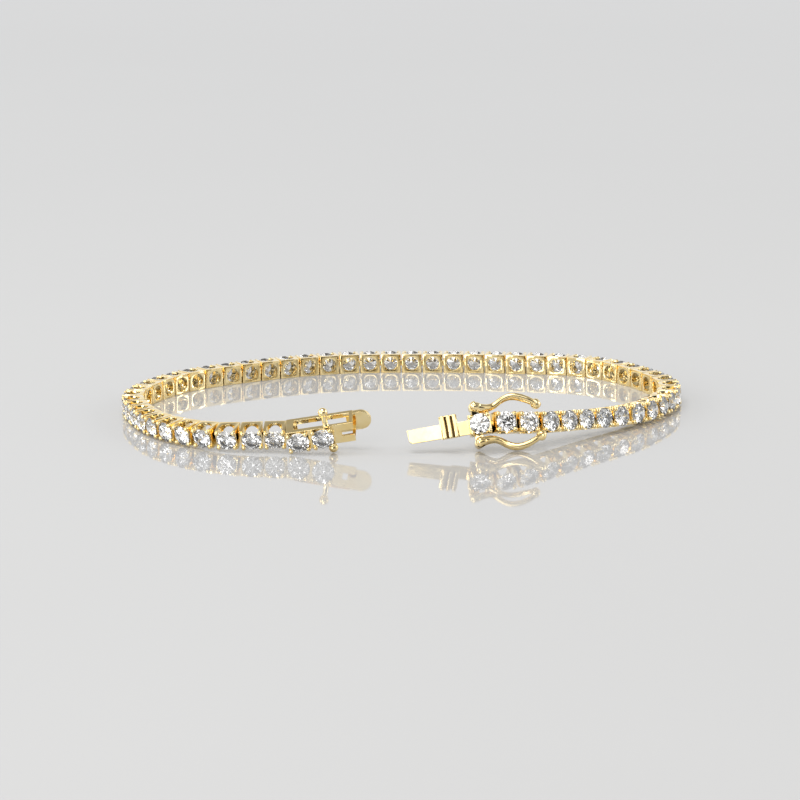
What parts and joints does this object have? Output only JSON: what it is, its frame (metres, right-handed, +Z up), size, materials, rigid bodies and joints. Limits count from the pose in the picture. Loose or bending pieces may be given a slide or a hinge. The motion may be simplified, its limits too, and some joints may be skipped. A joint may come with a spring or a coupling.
{
  "type": "tennis bracelet",
  "caption": "Yellow gold tennis bracelet standing on its edge, four-prong links with round brilliant stones, open box clasp and two folded-back safety catches.",
  "frame": {"origin": "centre of the bracelet's footprint, on the surface that it stands on", "axes": "+X along the longer way across the loop, from the box of the clasp towards the tongue side; +Z up, along the height that the links stand; -Y towards the open clasp"},
  "size_m": [0.0764, 0.0524, 0.0076],
  "materials": {
    "gold": "polished yellow gold",
    "diamond": "cut and polished, colourless"
  },
  "bodies": {
    "bracelet": {"chain_left": "gold", "chain_right": "gold", "clasp_box": "gold", "box_stone_1": "diamond", "box_stone_2": "diamond", "clasp_tongue": "gold", "clasp_stone": "diamond"},
    "catch_upper": {"safety_upper": "gold"},
    "catch_lower": {"safety_lower": "gold"}
  },
  "joints": [
    {"name": "safety_upper_hinge", "type": "hinge", "parent": "bracelet", "child": "catch_upper", "pos_m": [0.0093, -0.0226, 0.00562], "axis": [0.0468, -0.9338, 0.3547], "range_deg": [0, 160]},
    {"name": "safety_lower_hinge", "type": "hinge", "parent": "bracelet", "child": "catch_lower", "pos_m": [0.0101, -0.0242, 0.0013], "axis": [-0.0468, 0.9338, -0.3547], "range_deg": [0, 160]}
  ]
}
